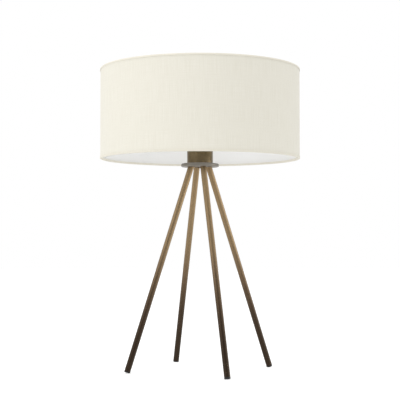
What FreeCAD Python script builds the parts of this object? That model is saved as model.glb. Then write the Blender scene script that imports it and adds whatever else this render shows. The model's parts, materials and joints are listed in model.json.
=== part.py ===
import FreeCAD, Part
import math
import os

import Sketcher

# A table lamp: four splayed tube legs under a round plate, a cup on the plate that hides the
# foot of the lampholder, a drum shade on a recessed wire spider, a shade ring and a bulb.
# Frame: +Z up, origin on the floor below the lamp's axis, -Y to the front.
# Lengths are in millimetres, angles in degrees.

doc = FreeCAD.newDocument("table_lamp")
dims = doc.addObject("Spreadsheet::Sheet", "dims")

SIZES = (
    # Legs: each axis runs from the foot circle on the floor to the leg circle at the plate's underside.
    ("leg_diameter", "12", "outside of a leg tube"),
    ("leg_wall", "1", "wall of a leg tube"),
    ("foot_circle_radius", "151", "where a leg's axis meets the floor"),
    ("leg_circle_radius", "19", "where a leg's axis meets the plate's underside"),
    ("first_leg_azimuth", "19.8", "back right leg, anticlockwise from +X"),
    # Foot caps
    ("foot_cap_head", "3", "cap below the tube's end, along the leg"),
    ("foot_cap_plug", "10", "cap inside the tube"),
    ("foot_cap_rounding", "0.8", "rounding of the cap's rim"),
    ("foot_flat_depth", "0.7", "how far the rim is cut back to lie flat on the floor"),
    # Top plate
    ("plate_height", "404.5", "plate's underside above the floor"),
    ("plate_thickness", "7", "top plate"),
    ("plate_diameter", "76", "top plate"),
    ("plate_rounding", "3", "rounding of the plate's edge"),
    ("leg_pocket_depth", "2", "leg tube let into the plate, on its axis"),
    ("screw_seat_depth", "2", "leg screw's seat below the plate's top, on its axis"),
    # Leg fasteners
    ("leg_insert_length", "16", "threaded plug in a leg tube's top"),
    ("leg_screw_diameter", "6", "shank"),
    ("leg_screw_length", "16", "under the head"),
    ("leg_screw_head_diameter", "10", "socket head"),
    ("leg_screw_head_height", "6", "socket head"),
    ("leg_screw_key_width", "5", "hexagon socket across flats"),
    ("leg_screw_key_depth", "3", "hexagon socket"),
    ("leg_washer_diameter", "11", "outside"),
    ("leg_washer_thickness", "1.2", "leg washer"),
    # Cup over the lampholder's foot
    ("cup_diameter", "52", "outside"),
    ("cup_wall", "1.2", "side wall and top"),
    ("cup_height", "36", "overall"),
    ("cup_seat_depth", "1", "groove in the plate that the cup stands in"),
    ("cup_rounding", "1", "outer edge of the cup's top"),
    # Hollow threaded tube on the lamp's axis, with its nut, washer and end sleeve
    ("nipple_diameter", "10", "outside"),
    ("nipple_bore", "7.6", "way for the wires"),
    ("nipple_nut_width", "14", "across flats"),
    ("nipple_nut_thickness", "3", "nut on the plate's top"),
    ("cup_washer_diameter", "20", "washer between cup and lampholder"),
    ("cup_washer_thickness", "0.8", "washer between cup and lampholder"),
    ("sleeve_bore", "6.4", "cord outlet"),
    ("sleeve_length", "8", "inside the nipple"),
    ("sleeve_flange_diameter", "9.6", "below the nipple"),
    ("sleeve_flange_thickness", "1", "below the nipple"),
    # Lampholder
    ("holder_cap_diameter", "42", "outside"),
    ("holder_cap_height", "24", "overall"),
    ("holder_cap_wall", "2.2", "around the contact block"),
    ("holder_cap_base", "4", "bottom, with the nipple's thread"),
    ("holder_cap_rounding", "2", "lower outer edge"),
    ("holder_block_depth", "14", "seat of the contact block below the cap's rim"),
    ("holder_ledge_width", "3.5", "seat of the contact block"),
    ("block_thickness", "9", "contact block"),
    ("terminal_offset", "9", "terminal screw from the axis"),
    ("terminal_screw_diameter", "3", "shank"),
    ("terminal_head_diameter", "5.5", "head below the block"),
    ("terminal_head_height", "2", "head below the block"),
    ("contact_thickness", "0.5", "centre and side contact strips"),
    ("contact_width", "6", "centre contact strip"),
    ("contact_rise", "3.8", "top of the centre contact above the block"),
    ("side_contact_width", "3", "side contact strip"),
    ("shoulder_diameter", "46", "flange that carries the shade"),
    ("shoulder_thickness", "2", "flange that carries the shade"),
    ("skirt_thread_diameter", "39.6", "crest of the skirt's outer thread"),
    ("skirt_thread_depth", "0.7", "crest to root"),
    ("skirt_thread_pitch", "2.5", "ridge to ridge"),
    ("skirt_bore", "29.2", "inside"),
    ("skirt_height", "24", "above the flange"),
    ("shell_thickness", "0.5", "metal thread shell in the skirt"),
    # Shade ring
    ("ring_diameter", "56", "outside"),
    ("ring_height", "9", "shade ring"),
    ("flute_diameter", "4", "finger flutes on the outside"),
    ("flute_depth", "0.8", "finger flutes on the outside"),
    # Shade
    ("shade_diameter", "400", "outside, over the hems"),
    ("shade_height", "180", "over the hems"),
    ("hem_thickness", "0.4", "folded tape"),
    ("hem_outer_width", "4", "seen on the outside"),
    ("hem_inner_width", "4", "seen on the inside"),
    ("cloth_thickness", "0.6", "woven cover"),
    ("seam_width", "12", "overlap at the back"),
    ("seam_thickness", "0.3", "overlap at the back"),
    ("lining_thickness", "0.8", "stiff white sheet"),
    ("wire_diameter", "3", "rims and spider arms"),
    # Spider
    ("spider_recess", "53.5", "fitter plate's underside above the shade's bottom"),
    ("spider_bend_radius", "8", "wire's centre line"),
    ("fitter_diameter", "64", "fitter plate"),
    ("fitter_hole", "42", "over the skirt"),
    ("fitter_thickness", "1.5", "fitter plate"),
    ("arm_lap", "7", "arm under the fitter plate"),
    # Bulb
    ("bulb_diameter", "60", "globe"),
    ("bulb_length", "108", "overall"),
    ("bulb_wall", "1.2", "globe"),
    ("bulb_rim_drop", "9", "globe's rim below its centre"),
    ("bulb_neck_bend", "60", "radius of the housing's hollow flank"),
    ("bulb_housing_wall", "2", "housing"),
    ("bulb_plug_length", "12", "housing inside the screw cap"),
    ("light_board_thickness", "1.5", "round board under the globe"),
    ("driver_board_thickness", "1.6", "upright board in the housing"),
    ("driver_board_inset", "5", "board's ends inside the housing"),
    ("bulb_thread_diameter", "26.4", "crest of the screw cap"),
    ("bulb_thread_depth", "1.05", "crest to root"),
    ("bulb_thread_pitch", "3.6", "ridge to ridge"),
    ("bulb_cap_wall", "0.5", "screw cap at the thread's root"),
    ("bulb_cap_lead", "1", "plain stretch below the thread"),
    ("bulb_cap_rim", "3", "plain stretch above the thread"),
    ("bulb_insulator_height", "4", "cone between contact and cap"),
    ("bulb_contact_diameter", "9", "end contact"),
    ("bulb_contact_height", "1.2", "end contact"),
    # Clearances
    ("push_clearance", "0.05", "radial, pushed or glued fits and drawn threads"),
    ("hole_clearance", "0.3", "radial, screws through holes"),
    ("thread_clearance", "0.15", "radial, between ridged threads"),
    ("bulb_clearance", "0.25", "radial, between bulb and thread shell"),
    ("seat_gap", "0.2", "between pieces that turn on each other"),
)

for row, (alias, size, note) in enumerate(SIZES, start=1):
    dims.set(f"A{row}", note)
    dims.set(f"B{row}", size)
    dims.setAlias(f"B{row}", alias)
doc.recompute()

# The four legs, anticlockwise from the first, and the three spider arms: straight back and at
# a third of a turn to each side, so that the front of the shade hides two of them.
LEG_SIDES = ("back_right", "back_left", "front_left", "front_right")
LEG_STEP = 360 / len(LEG_SIDES)
ARM_AZIMUTHS = {"back": 90, "front_left": 210, "front_right": 330}
SEAM_AZIMUTH = 90

BULB_THREAD_TURNS = 5
FLUTE_COUNT = 24
ANTICLOCKWISE = 1
CLOCKWISE = -1


def number(expression):
    """What an expression of sizes comes to."""
    result = dims.evalExpression(expression)
    return float(getattr(result, "Value", result))


# Radii and heights that follow from the sizes, as expressions.
LEG_RADIUS = "dims.leg_diameter / 2"
LEG_BORE_RADIUS = f"({LEG_RADIUS} - dims.leg_wall)"
LEG_TILT = "atan((dims.foot_circle_radius - dims.leg_circle_radius) / dims.plate_height)"
PLATE_TOP = "(dims.plate_height + dims.plate_thickness)"

# Distances along a leg's axis from the floor.
FOOT_ROUNDING_RISE = f"dims.foot_cap_rounding * (1 - cos({LEG_TILT}))"
FOOT_RIM_DROP = f"({LEG_RADIUS} - dims.foot_cap_rounding) * sin({LEG_TILT}) + {FOOT_ROUNDING_RISE}"
FOOT_END = f"(({FOOT_RIM_DROP} - dims.foot_flat_depth) / cos({LEG_TILT}))"
TUBE_FOOT = f"({FOOT_END} + dims.foot_cap_head)"
TUBE_TOP = f"(dims.plate_height / cos({LEG_TILT}) + dims.leg_pocket_depth)"
SCREW_SEAT = f"({PLATE_TOP} / cos({LEG_TILT}) - dims.screw_seat_depth)"
SCREW_HEAD = f"({SCREW_SEAT} + dims.leg_washer_thickness)"
SCREW_TOP = f"({SCREW_HEAD} + dims.leg_screw_head_height)"

CUP_BOTTOM = f"({PLATE_TOP} - dims.cup_seat_depth)"
CUP_TOP = f"({CUP_BOTTOM} + dims.cup_height)"
HOLDER_BOTTOM = f"({CUP_TOP} + dims.cup_washer_thickness)"
HOLDER_FLOOR = f"({HOLDER_BOTTOM} + dims.holder_cap_base)"
HOLDER_RIM = f"({HOLDER_BOTTOM} + dims.holder_cap_height)"
HOLDER_BORE_RADIUS = "(dims.holder_cap_diameter / 2 - dims.holder_cap_wall)"
BLOCK_BOTTOM = f"({HOLDER_RIM} - dims.holder_block_depth)"
BLOCK_TOP = f"({BLOCK_BOTTOM} + dims.block_thickness)"
SHOULDER_TOP = f"({HOLDER_RIM} + dims.shoulder_thickness)"
SKIRT_TOP = f"({SHOULDER_TOP} + dims.skirt_height)"
SKIRT_CREST = "(dims.skirt_thread_diameter / 2)"
SKIRT_ROOT = f"({SKIRT_CREST} - dims.skirt_thread_depth)"

FITTER_BOTTOM = f"({SHOULDER_TOP} + dims.seat_gap)"
FITTER_TOP = f"({FITTER_BOTTOM} + dims.fitter_thickness)"
RING_BOTTOM = f"({FITTER_TOP} + dims.seat_gap)"
RING_TOP = f"({RING_BOTTOM} + dims.ring_height)"

SHADE_BOTTOM = f"({FITTER_BOTTOM} - dims.spider_recess)"
SHADE_TOP = f"({SHADE_BOTTOM} + dims.shade_height)"
SHADE_RADIUS = "(dims.shade_diameter / 2)"
SEAM_RADIUS = f"({SHADE_RADIUS} - dims.hem_thickness - dims.push_clearance)"
COVER_RADIUS = f"({SEAM_RADIUS} - dims.seam_thickness - dims.push_clearance)"
COVER_BORE = f"({COVER_RADIUS} - dims.cloth_thickness)"
LINING_RADIUS = f"({COVER_BORE} - dims.push_clearance)"
LINING_BORE = f"({LINING_RADIUS} - dims.lining_thickness)"
WIRE_RADIUS = "(dims.wire_diameter / 2)"
RIM_RADIUS = f"({LINING_BORE} - dims.push_clearance - {WIRE_RADIUS})"
HEM_FOLD_RADIUS = f"({RIM_RADIUS} - {WIRE_RADIUS} - dims.push_clearance)"
COVER_INSET = "(dims.hem_thickness + dims.push_clearance)"
RIM_INSET = f"({COVER_INSET} + {WIRE_RADIUS})"
ARM_FOOT = f"({SHADE_BOTTOM} + {RIM_INSET} + {WIRE_RADIUS} + dims.push_clearance)"
ARM_LEVEL = f"({FITTER_BOTTOM} - dims.push_clearance - {WIRE_RADIUS})"
ARM_END_RADIUS = "(dims.fitter_diameter / 2 - dims.arm_lap)"

BULB_TIP = f"({BLOCK_TOP} + dims.contact_rise + dims.seat_gap)"
BULB_TOP = f"({BULB_TIP} + dims.bulb_length)"
BULB_RADIUS = "(dims.bulb_diameter / 2)"
BULB_CONTACT_TOP = f"({BULB_TIP} + dims.bulb_contact_height)"
BULB_CAP_BOTTOM = f"({BULB_CONTACT_TOP} + dims.bulb_insulator_height)"
BULB_THREAD_START = f"({BULB_CAP_BOTTOM} + dims.bulb_cap_lead)"
BULB_THREAD_END = f"({BULB_THREAD_START} + {BULB_THREAD_TURNS} * dims.bulb_thread_pitch)"
BULB_CAP_TOP = f"({BULB_THREAD_END} + dims.bulb_cap_rim)"
BULB_THREAD_MIDDLE = "(dims.bulb_thread_diameter / 2 - dims.bulb_thread_depth / 2)"
BULB_CAP_BORE = f"({BULB_THREAD_MIDDLE} - dims.bulb_thread_depth / 2 - dims.bulb_cap_wall)"
BULB_RIM = f"({BULB_TOP} - {BULB_RADIUS} - dims.bulb_rim_drop)"
BULB_RIM_RADIUS = f"sqrt(({BULB_RADIUS})^2 - dims.bulb_rim_drop^2)"
SHELL_RADIUS = f"({BULB_THREAD_MIDDLE} + dims.bulb_clearance)"
SHELL_TOP = f"({BULB_THREAD_END} + dims.bulb_cap_lead)"


def origin_plane(body, role):
    return next(feature for feature in body.Origin.OriginFeatures if feature.Role == role)


def new_body(name):
    body = doc.addObject("PartDesign::Body", name)
    body.Label = name
    return body


def new_sketch(body, role, name, offset="0"):
    """A sketch on one of the body's own origin planes, moved along its normal by the offset."""
    sketch = body.newObject("Sketcher::SketchObject", name)
    sketch.AttachmentSupport = [(origin_plane(body, role), "")]
    sketch.MapMode = "FlatFace"
    sketch.setExpression("AttachmentOffset.Base.z", offset)
    return sketch


def drive(sketch, constraint, name, expression):
    """Add a constraint whose value follows an expression."""
    index = sketch.addConstraint(constraint)
    sketch.renameConstraint(index, name)
    sketch.setExpression(f"Constraints.{name}", expression)


def arc_between(start, end, radius, turn):
    """The arc of less than half a turn that runs from start to end, turning the given way."""
    chord = end - start
    rise = math.sqrt(max(radius**2 - (chord.Length / 2) ** 2, 0))
    left = FreeCAD.Vector(-chord.y, chord.x, 0).normalize()
    centre = (start + end) / 2 + left * rise * turn
    first, last = (start, end) if turn == ANTICLOCKWISE else (end, start)
    angles = [math.atan2(point.y - centre.y, point.x - centre.x) for point in (first, last)]
    return Part.ArcOfCircle(Part.Circle(centre, FreeCAD.Vector(0, 0, 1), radius), *angles)


def draw(sketch, corners, closed=True):
    """Draw straight and round stretches through the corners, each held by its expressions.

    A corner is (x, y), or (x, y, radius, turn) where a round stretch leads on from it.
    """
    points = [FreeCAD.Vector(number(corner[0]), number(corner[1]), 0) for corner in corners]
    stretches = len(corners) if closed else len(corners) - 1
    ends = []
    for index in range(stretches):
        start = points[index]
        end = points[(index + 1) % len(points)]
        if len(corners[index]) == 2:
            sketch.addGeometry(Part.LineSegment(start, end))
            ends.append((1, 2))
        else:
            radius, turn = corners[index][2:]
            sketch.addGeometry(arc_between(start, end, number(radius), turn))
            ends.append((1, 2) if turn == ANTICLOCKWISE else (2, 1))
            drive(sketch, Sketcher.Constraint("Radius", index, number(radius)), f"r{index}", radius)
    for index in range(0 if closed else 1, stretches):
        before = (index - 1) % stretches
        joint = Sketcher.Constraint("Coincident", before, ends[before][1], index, ends[index][0])
        sketch.addConstraint(joint)
    for index, (corner, point) in enumerate(zip(corners, points)):
        stretch = min(index, stretches - 1)
        end = ends[stretch][0 if index == stretch else 1]
        across = Sketcher.Constraint("DistanceX", -1, 1, stretch, end, point.x)
        drive(sketch, across, f"x{index}", corner[0])
        up = Sketcher.Constraint("DistanceY", -1, 1, stretch, end, point.y)
        drive(sketch, up, f"y{index}", corner[1])


def turned(name, corners, angle="360"):
    """A body turned about its own Z from an outline of (radius, height) corners."""
    body = new_body(name)
    sketch = new_sketch(body, "XZ_Plane", f"{name}_outline")
    draw(sketch, corners)
    turn = body.newObject("PartDesign::Revolution", f"{name}_turn")
    turn.Profile = sketch
    turn.ReferenceAxis = (sketch, ["V_Axis"])
    turn.Midplane = True
    turn.setExpression("Angle", angle)
    return body


def tube_section(bore, radius, low, high):
    return ((bore, low), (radius, low), (radius, high), (bore, high))


def cylinder(name, radius, low, high, x="0"):
    """An upright cylinder on the lamp's axis, or beside it."""
    solid = doc.addObject("Part::Cylinder", name)
    solid.setExpression("Radius", radius)
    solid.setExpression("Height", f"{high} - {low}")
    solid.setExpression("Placement.Base.x", x)
    solid.setExpression("Placement.Base.z", low)
    return solid


def hexagon(name, width, low, high):
    """An upright hexagonal prism on the lamp's axis, of a width across flats."""
    solid = doc.addObject("Part::Prism", name)
    solid.Polygon = 6
    solid.setExpression("Circumradius", f"{width} / 2 / cos(30)")
    solid.setExpression("Height", f"{high} - {low}")
    solid.setExpression("Placement.Base.z", low)
    return solid


def box(name, low, high):
    """A box between two corners, each of three expressions."""
    solid = doc.addObject("Part::Box", name)
    for side, axis, start, end in zip(("Length", "Width", "Height"), "xyz", low, high):
        solid.setExpression(side, f"{end} - ({start})")
        solid.setExpression(f"Placement.Base.{axis}", start)
    return solid


def cut(name, base, tool):
    result = doc.addObject("Part::Cut", name)
    result.Base = base
    result.Tool = tool
    result.Label = name
    return result


def group(name, solids):
    """One node of separate, identical solids."""
    result = doc.addObject("Part::Compound", name)
    result.Links = solids
    result.Label = name
    return result


def place_round(piece, azimuth, radius, height):
    """Stand a piece at a radius and height, turned so that its +X points outwards."""
    spot = f"vector({radius} * cos({azimuth}); {radius} * sin({azimuth}); {height})"
    piece.setExpression("Placement", f"placement({spot}; rotationz({azimuth}))")


def place_on_leg(piece, index, along="0"):
    """Put a piece on a leg's axis, its origin at a distance from the floor and its +Z up the leg."""
    azimuth = f"(dims.first_leg_azimuth + {index * LEG_STEP})"
    radius = f"(dims.foot_circle_radius - {along} * sin({LEG_TILT}))"
    height = f"{along} * cos({LEG_TILT})"
    spot = f"vector({radius} * cos({azimuth}); {radius} * sin({azimuth}); {height})"
    piece.setExpression("Placement", f"placement({spot}; rotationz({azimuth}) * rotationy(-{LEG_TILT}))")


def make_leg(index, side):
    """A tube from its foot cap to the bottom of its pocket in the plate."""
    leg = turned(f"leg_{side}", tube_section(LEG_BORE_RADIUS, LEG_RADIUS, TUBE_FOOT, TUBE_TOP))
    place_on_leg(leg, index)
    return leg


def make_foot_cap(index, side, ground):
    """A plug in the tube's end with a rounded head, cut flat where it meets the floor."""
    rounding = "dims.foot_cap_rounding"
    plug_radius = f"({LEG_BORE_RADIUS} - dims.push_clearance)"
    plug_top = f"({TUBE_FOOT} + dims.foot_cap_plug)"
    outline = (
        ("0", FOOT_END),
        (f"{LEG_RADIUS} - {rounding}", FOOT_END, rounding, ANTICLOCKWISE),
        (LEG_RADIUS, f"{FOOT_END} + {rounding}"),
        (LEG_RADIUS, TUBE_FOOT),
        (plug_radius, TUBE_FOOT),
        (plug_radius, plug_top),
        ("0", plug_top),
    )
    blank = turned(f"foot_cap_blank_{side}", outline)
    place_on_leg(blank, index)
    return cut(f"foot_cap_{side}", blank, ground)


def make_leg_insert(index, side):
    bore = "dims.leg_screw_diameter / 2 + dims.push_clearance"
    low = f"({TUBE_TOP} - dims.leg_insert_length)"
    outline = tube_section(bore, f"{LEG_BORE_RADIUS} - dims.push_clearance", low, TUBE_TOP)
    insert = turned(f"leg_insert_{side}", outline)
    place_on_leg(insert, index)
    return insert


def make_leg_washer(index, side):
    bore = "dims.leg_screw_diameter / 2 + dims.push_clearance"
    outline = tube_section(bore, "dims.leg_washer_diameter / 2", SCREW_SEAT, SCREW_HEAD)
    washer = turned(f"leg_washer_{side}", outline)
    place_on_leg(washer, index)
    return washer


def make_leg_screw(index, side):
    """A socket-head screw from the plate's top into the leg's insert."""
    shank = "dims.leg_screw_diameter / 2"
    head = "dims.leg_screw_head_diameter / 2"
    tip = f"({SCREW_HEAD} - dims.leg_screw_length)"
    outline = (
        ("0", tip),
        (shank, tip),
        (shank, SCREW_HEAD),
        (head, SCREW_HEAD),
        (head, SCREW_TOP),
        ("0", SCREW_TOP),
    )
    blank = turned(f"leg_screw_blank_{side}", outline)
    place_on_leg(blank, index)
    key = hexagon(f"leg_screw_key_{side}", "dims.leg_screw_key_width", "0", "dims.leg_screw_key_depth")
    place_on_leg(key, index, f"({SCREW_TOP} - dims.leg_screw_key_depth)")
    return cut(f"leg_screw_{side}", blank, key)


def make_plate_bore(index, side):
    """What is cut from the plate for one leg: the tube's pocket, the screw's hole and its seat."""
    pocket = f"{LEG_RADIUS} + dims.push_clearance"
    hole = "dims.leg_screw_diameter / 2 + dims.hole_clearance"
    seat = "dims.leg_washer_diameter / 2 + dims.hole_clearance"
    low = f"({TUBE_TOP} - dims.leg_diameter)"
    high = f"({SCREW_TOP} + dims.leg_screw_head_height)"
    outline = (
        ("0", low),
        (pocket, low),
        (pocket, TUBE_TOP),
        (hole, TUBE_TOP),
        (hole, SCREW_SEAT),
        (seat, SCREW_SEAT),
        (seat, high),
        ("0", high),
    )
    bore = turned(f"plate_bore_{side}", outline)
    place_on_leg(bore, index)
    return bore


def make_top_plate():
    """A round plate with a rounded edge, bored for the legs and grooved for the cup."""
    rounding = "dims.plate_rounding"
    edge = "dims.plate_diameter / 2"
    bore = "dims.nipple_diameter / 2 + dims.push_clearance"
    groove_outside = "dims.cup_diameter / 2 + dims.push_clearance"
    groove_inside = "dims.cup_diameter / 2 - dims.cup_wall - dims.push_clearance"
    outline = (
        (bore, "dims.plate_height"),
        (f"{edge} - {rounding}", "dims.plate_height", rounding, ANTICLOCKWISE),
        (edge, f"dims.plate_height + {rounding}"),
        (edge, f"{PLATE_TOP} - {rounding}", rounding, ANTICLOCKWISE),
        (f"{edge} - {rounding}", PLATE_TOP),
        (groove_outside, PLATE_TOP),
        (groove_outside, CUP_BOTTOM),
        (groove_inside, CUP_BOTTOM),
        (groove_inside, PLATE_TOP),
        (bore, PLATE_TOP),
    )
    bores = doc.addObject("Part::MultiFuse", "plate_bores")
    bores.Shapes = [make_plate_bore(index, side) for index, side in enumerate(LEG_SIDES)]
    return cut("top_plate", turned("top_plate_blank", outline), bores)


def make_cup():
    """An upside-down cup with a hole for the nipple in its top."""
    outside = "dims.cup_diameter / 2"
    inside = f"{outside} - dims.cup_wall"
    ceiling = f"({CUP_TOP} - dims.cup_wall)"
    hole = "dims.nipple_diameter / 2 + dims.hole_clearance"
    rounding = "dims.cup_rounding"
    outline = (
        (inside, CUP_BOTTOM),
        (outside, CUP_BOTTOM),
        (outside, f"{CUP_TOP} - {rounding}", rounding, ANTICLOCKWISE),
        (f"{outside} - {rounding}", CUP_TOP),
        (hole, CUP_TOP),
        (hole, ceiling),
        (inside, ceiling),
    )
    return turned("socket_cup", outline)


def make_nipple_set():
    """The hollow threaded tube, its nut on the plate, the washer on the cup and the end sleeve."""
    outside = "dims.nipple_diameter / 2"
    inside = "dims.nipple_bore / 2"
    hole = f"{outside} + dims.push_clearance"
    nipple = turned("nipple", tube_section(inside, outside, "dims.plate_height", HOLDER_FLOOR))
    nut_top = f"({PLATE_TOP} + dims.nipple_nut_thickness)"
    nut_blank = hexagon("nipple_nut_blank", "dims.nipple_nut_width", PLATE_TOP, nut_top)
    nut = cut("nipple_nut", nut_blank, cylinder("nipple_nut_hole", hole, PLATE_TOP, nut_top))
    washer_section = tube_section(hole, "dims.cup_washer_diameter / 2", CUP_TOP, HOLDER_BOTTOM)
    washer = turned("cup_washer", washer_section)
    flange_bottom = "dims.plate_height - dims.sleeve_flange_thickness"
    sleeve_top = "dims.plate_height + dims.sleeve_length"
    sleeve_radius = f"{inside} - dims.push_clearance"
    outline = (
        ("dims.sleeve_bore / 2", flange_bottom),
        ("dims.sleeve_flange_diameter / 2", flange_bottom),
        ("dims.sleeve_flange_diameter / 2", "dims.plate_height"),
        (sleeve_radius, "dims.plate_height"),
        (sleeve_radius, sleeve_top),
        ("dims.sleeve_bore / 2", sleeve_top),
    )
    return [nipple, nut, washer, turned("cord_sleeve", outline)]


def make_holder_cap():
    """The lampholder's lower cup: threaded bottom, wiring space, ledge for the contact block."""
    outside = "dims.holder_cap_diameter / 2"
    rounding = "dims.holder_cap_rounding"
    bore = "dims.nipple_diameter / 2 + dims.push_clearance"
    ledge = f"{HOLDER_BORE_RADIUS} - dims.holder_ledge_width"
    outline = (
        (bore, HOLDER_BOTTOM),
        (f"{outside} - {rounding}", HOLDER_BOTTOM, rounding, ANTICLOCKWISE),
        (outside, f"{HOLDER_BOTTOM} + {rounding}"),
        (outside, HOLDER_RIM),
        (HOLDER_BORE_RADIUS, HOLDER_RIM),
        (HOLDER_BORE_RADIUS, BLOCK_BOTTOM),
        (ledge, BLOCK_BOTTOM),
        (ledge, HOLDER_FLOOR),
        (bore, HOLDER_FLOOR),
    )
    return turned("holder_cap", outline)


def make_contact_block():
    """A round block with a through hole for each terminal screw."""
    block_radius = f"{HOLDER_BORE_RADIUS} - dims.push_clearance"
    blank = cylinder("contact_block_blank", block_radius, BLOCK_BOTTOM, BLOCK_TOP)
    hole = "dims.terminal_screw_diameter / 2 + dims.push_clearance"
    holes = doc.addObject("Part::MultiFuse", "terminal_holes")
    holes.Shapes = [
        cylinder(f"terminal_hole_{side}", hole, BLOCK_BOTTOM, BLOCK_TOP, f"{sign}dims.terminal_offset")
        for side, sign in (("left", "-"), ("right", ""))
    ]
    return cut("contact_block", blank, holes)


def make_terminal_screws():
    """Two screws from below the block, one for each contact."""
    head = "dims.terminal_head_diameter / 2"
    shank = "dims.terminal_screw_diameter / 2"
    low = f"{BLOCK_BOTTOM} - dims.terminal_head_height"
    tip = f"{BLOCK_TOP} - dims.push_clearance"
    outline = (("0", low), (head, low), (head, BLOCK_BOTTOM), (shank, BLOCK_BOTTOM), (shank, tip), ("0", tip))
    screws = []
    for side, sign in (("left", "-"), ("right", "")):
        screw = turned(f"terminal_screw_{side}", outline)
        screw.setExpression("Placement.Base.x", f"{sign}dims.terminal_offset")
        screws.append(screw)
    return group("terminal_screws", screws)


def make_centre_contact():
    """A springy strip from the left terminal up to the bulb's end contact."""
    body = new_body("centre_contact")
    sketch = new_sketch(body, "XZ_Plane", "centre_contact_outline")
    thickness = "dims.contact_thickness"
    top = f"{BLOCK_TOP} + dims.contact_rise"
    outer = "-dims.terminal_offset - dims.terminal_screw_diameter"
    foot = "-dims.terminal_offset + dims.terminal_screw_diameter / 2"
    reach = "dims.bulb_contact_diameter / 4"
    corners = (
        (outer, BLOCK_TOP),
        (foot, BLOCK_TOP),
        (f"-{reach}", f"{top} - {thickness}"),
        (reach, f"{top} - {thickness}"),
        (reach, top),
        (f"-{reach}", top),
        (foot, f"{BLOCK_TOP} + {thickness}"),
        (outer, f"{BLOCK_TOP} + {thickness}"),
    )
    draw(sketch, corners)
    pad = body.newObject("PartDesign::Pad", "centre_contact_width")
    pad.Profile = sketch
    pad.SideType = "Symmetric"
    pad.setExpression("Length", "dims.contact_width")
    return body


def make_side_contact():
    """A flat strip from the right terminal to the thread shell."""
    start = "dims.terminal_offset - dims.terminal_screw_diameter"
    end = f"({SHELL_RADIUS} - dims.hole_clearance)"
    half_width = "dims.side_contact_width / 2"
    low = (start, f"-{half_width}", BLOCK_TOP)
    strip = box("side_contact", low, (end, half_width, f"({BLOCK_TOP} + dims.contact_thickness)"))
    return strip


def ridge_corner(radius, start, turns):
    """A corner of the skirt's thread, a number of pitches above the thread's start."""
    return (radius, f"{start} + {turns} * dims.skirt_thread_pitch")


# A ridge's flank, crest and second flank each take a quarter of the pitch, and so does the root.
FLANK_TOP = 0.25
CREST_END = 0.5
RIDGE_END = 0.75


def skirt_ridge_count():
    length = number(f"{SKIRT_TOP} - {SHOULDER_TOP}")
    return int(length / number("dims.skirt_thread_pitch") - RIDGE_END)


SKIRT_THREAD_START = f"({SHOULDER_TOP} + dims.skirt_thread_pitch / 4)"


def make_skirt():
    """The lampholder's upper sleeve: spigot in the cap, flange for the shade, outer thread."""
    spigot = f"{HOLDER_BORE_RADIUS} - dims.push_clearance"
    shoulder = "dims.shoulder_diameter / 2"
    bore = "dims.skirt_bore / 2"
    outline = [
        (bore, BLOCK_TOP),
        (spigot, BLOCK_TOP),
        (spigot, HOLDER_RIM),
        (shoulder, HOLDER_RIM),
        (shoulder, SHOULDER_TOP),
        (SKIRT_ROOT, SHOULDER_TOP),
    ]
    for ridge in range(skirt_ridge_count()):
        outline.append(ridge_corner(SKIRT_ROOT, SKIRT_THREAD_START, ridge))
        outline.append(ridge_corner(SKIRT_CREST, SKIRT_THREAD_START, ridge + FLANK_TOP))
        outline.append(ridge_corner(SKIRT_CREST, SKIRT_THREAD_START, ridge + CREST_END))
        outline.append(ridge_corner(SKIRT_ROOT, SKIRT_THREAD_START, ridge + RIDGE_END))
    outline.append((SKIRT_ROOT, SKIRT_TOP))
    outline.append((bore, SKIRT_TOP))
    return turned("holder_skirt", outline)


def make_shade_ring():
    """The nut that clamps the shade: teeth between the skirt's ridges, flutes for the fingers."""
    outside = "dims.ring_diameter / 2"
    tooth_valley = f"({SKIRT_CREST} + dims.thread_clearance)"
    tooth_tip = f"({SKIRT_ROOT} + dims.thread_clearance)"
    pitch = number("dims.skirt_thread_pitch")
    start = number(SKIRT_THREAD_START)
    first = math.ceil((number(RING_BOTTOM) - start) / pitch - CREST_END)
    last = math.floor((number(RING_TOP) - start) / pitch - 1 - FLANK_TOP)
    last = min(last, skirt_ridge_count() - 1)
    outline = [(tooth_valley, RING_BOTTOM), (outside, RING_BOTTOM), (outside, RING_TOP)]
    outline.append((tooth_valley, RING_TOP))
    for tooth in range(last, first - 1, -1):
        outline.append(ridge_corner(tooth_valley, SKIRT_THREAD_START, tooth + 1 + FLANK_TOP))
        outline.append(ridge_corner(tooth_tip, SKIRT_THREAD_START, tooth + 1))
        outline.append(ridge_corner(tooth_tip, SKIRT_THREAD_START, tooth + RIDGE_END))
        outline.append(ridge_corner(tooth_valley, SKIRT_THREAD_START, tooth + CREST_END))
    body = turned("shade_ring", outline)
    doc.recompute()
    plain_volume = body.Shape.Volume
    sketch = new_sketch(body, "XY_Plane", "flute_outline", RING_TOP)
    flute_centre = f"{outside} + dims.flute_diameter / 2 - dims.flute_depth"
    centre = FreeCAD.Vector(number(flute_centre), 0, 0)
    flute_radius = number("dims.flute_diameter / 2")
    sketch.addGeometry(Part.Circle(centre, FreeCAD.Vector(0, 0, 1), flute_radius))
    drive(sketch, Sketcher.Constraint("Radius", 0, flute_radius), "flute", "dims.flute_diameter / 2")
    drive(sketch, Sketcher.Constraint("DistanceX", -1, 1, 0, 3, centre.x), "across", flute_centre)
    sketch.addConstraint(Sketcher.Constraint("PointOnObject", 0, 3, -1))
    pocket = body.newObject("PartDesign::Pocket", "flute")
    pocket.Profile = sketch
    pocket.setExpression("Length", "dims.ring_height")
    pattern = body.newObject("PartDesign::PolarPattern", "flutes")
    pattern.Originals = [pocket]
    pattern.Axis = (sketch, ["N_Axis"])
    pattern.Angle = 360
    pattern.Occurrences = FLUTE_COUNT
    body.Tip = pattern
    doc.recompute()
    if body.Shape.Volume >= plain_volume:
        raise ValueError("the flutes cut nothing from the shade ring")
    return body


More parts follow.
